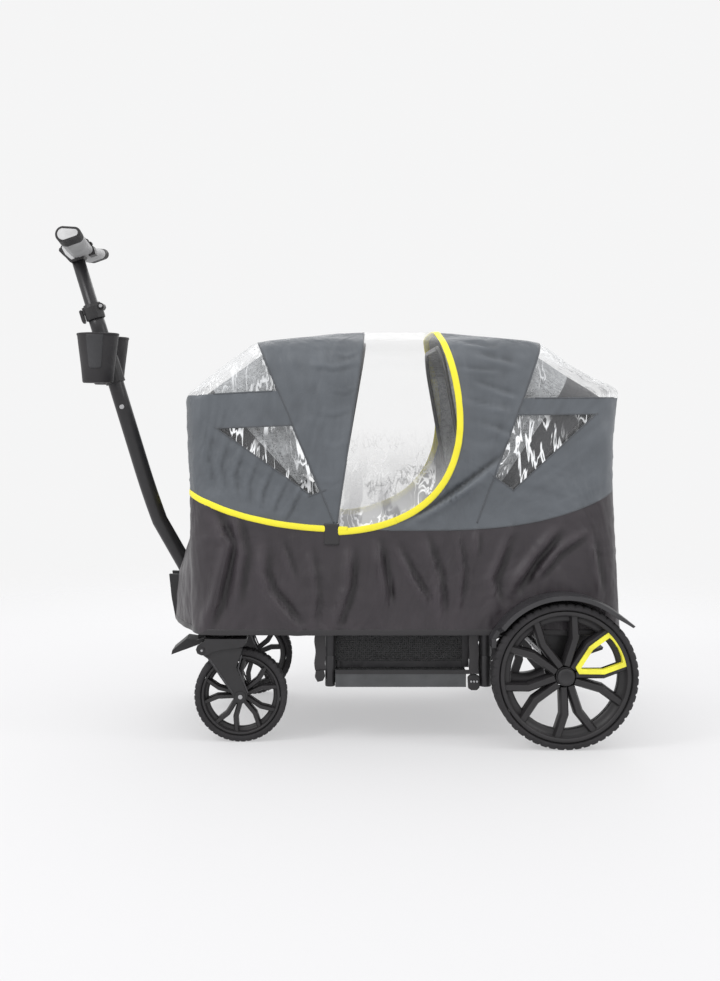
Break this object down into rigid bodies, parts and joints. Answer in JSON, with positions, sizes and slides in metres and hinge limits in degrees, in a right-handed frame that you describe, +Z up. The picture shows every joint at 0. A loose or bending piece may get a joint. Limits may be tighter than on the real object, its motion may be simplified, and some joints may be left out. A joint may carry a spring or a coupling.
{
  "type": "pull wagon",
  "caption": "Pull wagon for children with a tilting T handle, swivel front wheels, folding canopies and a fitted weather cover.",
  "frame": {"origin": "middle of the wagon's box, on the floor", "axes": "+X to the rear, the handle end is -X; +Y across; +Z up"},
  "size_m": [1.305, 0.65, 1.1604],
  "materials": {
    "frame_tube": "satin black powder coat",
    "bright_metal": "brushed, anodised",
    "black_plastic": "fine moulded texture",
    "grip_rubber": "soft touch",
    "tyre_rubber": "moulded tread",
    "shell_fabric": "coated polyester weave",
    "skirt_fabric": "coated polyester weave",
    "clear_vinyl": "clear, creased",
    "canopy_mesh": "open mesh",
    "liner_fabric": "woven liner"
  },
  "bodies": {
    "root": {"front_frame": "frame_tube", "rear_frame": "frame_tube", "rear_axle": "bright_metal", "lower_rail_near": "bright_metal", "lower_rail_far": "bright_metal", "front_post_near": "frame_tube", "front_post_far": "frame_tube", "rear_post_near": "frame_tube", "rear_post_far": "frame_tube", "top_rail": "frame_tube", "footwell_tray": "liner_fabric", "front_seat_deck": "liner_fabric", "rear_seat_deck": "liner_fabric", "basket_liner": "liner_fabric", "rear_fender_near": "black_plastic", "rear_fender_far": "black_plastic", "handle_yoke": "black_plastic", "handle_pivot_pin": "bright_metal", "cover_skirt": "skirt_fabric", "cover_hood_front": "shell_fabric", "cover_hood_rear": "shell_fabric", "cover_window_center": "clear_vinyl", "cover_window_front": "clear_vinyl", "cover_window_rear": "clear_vinyl", "front_canopy_base_hoop": "frame_tube", "rear_canopy_base_hoop": "frame_tube", "front_canopy_back_fabric": "canopy_mesh", "rear_canopy_back_fabric": "canopy_mesh"},
    "handle_lower": {"handle_lower_tube": "frame_tube", "cup_holder_bracket": "black_plastic", "cup_holder_near": "black_plastic", "cup_holder_far": "black_plastic", "clamp_collar": "black_plastic"},
    "handle_upper": {"handle_upper_tube": "frame_tube", "handle_grip": "grip_rubber"},
    "clamp_lever": {"clamp_lever": "black_plastic"},
    "detent_button": {"detent_button": "bright_metal"},
    "grip_trigger": {"grip_trigger": "black_plastic"},
    "lock_pedal": {"lock_pedal": "black_plastic"},
    "brake_pedal": {"brake_pedal": "black_plastic"},
    "caster_bracket_near": {"caster_bracket_near": "black_plastic"},
    "caster_fork_near": {"caster_fork_near": "black_plastic"},
    "front_wheel_near": {"front_rim_near": "black_plastic", "front_tyre_near": "tyre_rubber"},
    "rear_wheel_near": {"rear_rim_near": "black_plastic", "rear_tyre_near": "tyre_rubber"},
    "release_button_near": {"release_button_near": "black_plastic"},
    "caster_bracket_far": {"caster_bracket_far": "black_plastic"},
    "caster_fork_far": {"caster_fork_far": "black_plastic"},
    "front_wheel_far": {"front_rim_far": "black_plastic", "front_tyre_far": "tyre_rubber"},
    "rear_wheel_far": {"rear_rim_far": "black_plastic", "rear_tyre_far": "tyre_rubber"},
    "release_button_far": {"release_button_far": "black_plastic"},
    "front_canopy_mid": {"front_canopy_mid_hoop": "frame_tube", "front_canopy_lead_fabric": "canopy_mesh"},
    "front_canopy_lead": {"front_canopy_lead_hoop": "frame_tube"},
    "rear_canopy_mid": {"rear_canopy_mid_hoop": "frame_tube", "rear_canopy_lead_fabric": "canopy_mesh"},
    "rear_canopy_lead": {"rear_canopy_lead_hoop": "frame_tube"}
  },
  "joints": [
    {"name": "handle_tilt", "type": "hinge", "parent": "root", "child": "handle_lower", "pos_m": [-0.32222, 0, 0.285], "axis": [0, -1, 0], "range_deg": [0, 80]},
    {"name": "handle_extend", "type": "slide", "parent": "handle_lower", "child": "handle_upper", "axis": [-0.294, 0, 0.9558], "range_m": [-0.04, 0.12]},
    {"name": "clamp_lever_swing", "type": "hinge", "parent": "handle_lower", "child": "clamp_lever", "pos_m": [-0.62024, 0, 0.97824], "axis": [0, 1, 0], "range_deg": [0, 95]},
    {"name": "detent_button_press", "type": "slide", "parent": "handle_lower", "child": "detent_button", "axis": [0, 1, 0], "range_m": [0, 0.003], "stiffness_N_per_m": 800, "springref_m": -0.002},
    {"name": "grip_trigger_press", "type": "slide", "parent": "handle_upper", "child": "grip_trigger", "axis": [-0.9558, 0, -0.294], "range_m": [0, 0.003], "stiffness_N_per_m": 600, "springref_m": -0.003},
    {"name": "lock_pedal_press", "type": "hinge", "parent": "root", "child": "lock_pedal", "pos_m": [-0.32122, 0, 0.212], "axis": [0, -1, 0], "range_deg": [0, 15], "stiffness_Nm_per_rad": 8, "springref_deg": -8.59},
    {"name": "brake_pedal_press", "type": "hinge", "parent": "root", "child": "brake_pedal", "pos_m": [0.57978, 0, 0.182], "axis": [0, 1, 0], "range_deg": [0, 14]},
    {"name": "caster_swivel_near", "type": "hinge", "parent": "root", "child": "caster_bracket_near", "pos_m": [-0.25722, -0.228, 0.245], "axis": [0, 0, 1], "continuous": true},
    {"name": "fork_suspension_near", "type": "hinge", "parent": "caster_bracket_near", "child": "caster_fork_near", "pos_m": [-0.30122, -0.228, 0.209], "axis": [0, -1, 0], "range_deg": [0, 5], "stiffness_Nm_per_rad": 60, "springref_deg": -11.46},
    {"name": "front_wheel_spin_near", "type": "hinge", "parent": "caster_fork_near", "child": "front_wheel_near", "pos_m": [-0.21622, -0.228, 0.1035], "axis": [0, 1, 0], "continuous": true},
    {"name": "rear_wheel_spin_near", "type": "hinge", "parent": "root", "child": "rear_wheel_near", "pos_m": [0.49378, -0.292, 0.15875], "axis": [0, 1, 0], "continuous": true},
    {"name": "release_button_press_near", "type": "slide", "parent": "rear_wheel_near", "child": "release_button_near", "axis": [0, 1, 0], "range_m": [0, 0.003], "stiffness_N_per_m": 500, "springref_m": -0.003},
    {"name": "caster_swivel_far", "type": "hinge", "parent": "root", "child": "caster_bracket_far", "pos_m": [-0.25722, 0.228, 0.245], "axis": [0, 0, 1], "continuous": true},
    {"name": "fork_suspension_far", "type": "hinge", "parent": "caster_bracket_far", "child": "caster_fork_far", "pos_m": [-0.30122, 0.228, 0.209], "axis": [0, -1, 0], "range_deg": [0, 5], "stiffness_Nm_per_rad": 60, "springref_deg": -11.46},
    {"name": "front_wheel_spin_far", "type": "hinge", "parent": "caster_fork_far", "child": "front_wheel_far", "pos_m": [-0.21622, 0.228, 0.1035], "axis": [0, 1, 0], "continuous": true},
    {"name": "rear_wheel_spin_far", "type": "hinge", "parent": "root", "child": "rear_wheel_far", "pos_m": [0.49378, 0.292, 0.15875], "axis": [0, 1, 0], "continuous": true},
    {"name": "release_button_press_far", "type": "slide", "parent": "rear_wheel_far", "child": "release_button_far", "axis": [0, -1, 0], "range_m": [0, 0.003], "stiffness_N_per_m": 500, "springref_m": -0.003},
    {"name": "front_canopy_fold", "type": "hinge", "parent": "root", "child": "front_canopy_mid", "pos_m": [-0.00822, 0, 0.487], "axis": [0, -1, 0], "range_deg": [0, 19], "deforming": ["front_canopy_back_fabric"]},
    {"name": "front_canopy_lead_fold", "type": "hinge", "parent": "front_canopy_mid", "child": "front_canopy_lead", "pos_m": [-0.00822, 0, 0.487], "axis": [0, -1, 0], "range_deg": [0, 24], "deforming": ["front_canopy_lead_fabric"]},
    {"name": "rear_canopy_fold", "type": "hinge", "parent": "root", "child": "rear_canopy_mid", "pos_m": [0.30478, 0, 0.48], "axis": [0, 1, 0], "range_deg": [0, 17], "deforming": ["rear_canopy_back_fabric"]},
    {"name": "rear_canopy_lead_fold", "type": "hinge", "parent": "rear_canopy_mid", "child": "rear_canopy_lead", "pos_m": [0.30478, 0, 0.48], "axis": [0, 1, 0], "range_deg": [0, 22], "deforming": ["rear_canopy_lead_fabric"]}
  ],
  "couplings": [
    {"joint": "front_canopy_lead_fold", "follows": "front_canopy_fold", "ratio": 1.2631},
    {"joint": "rear_canopy_lead_fold", "follows": "rear_canopy_fold", "ratio": 1.294}
  ]
}
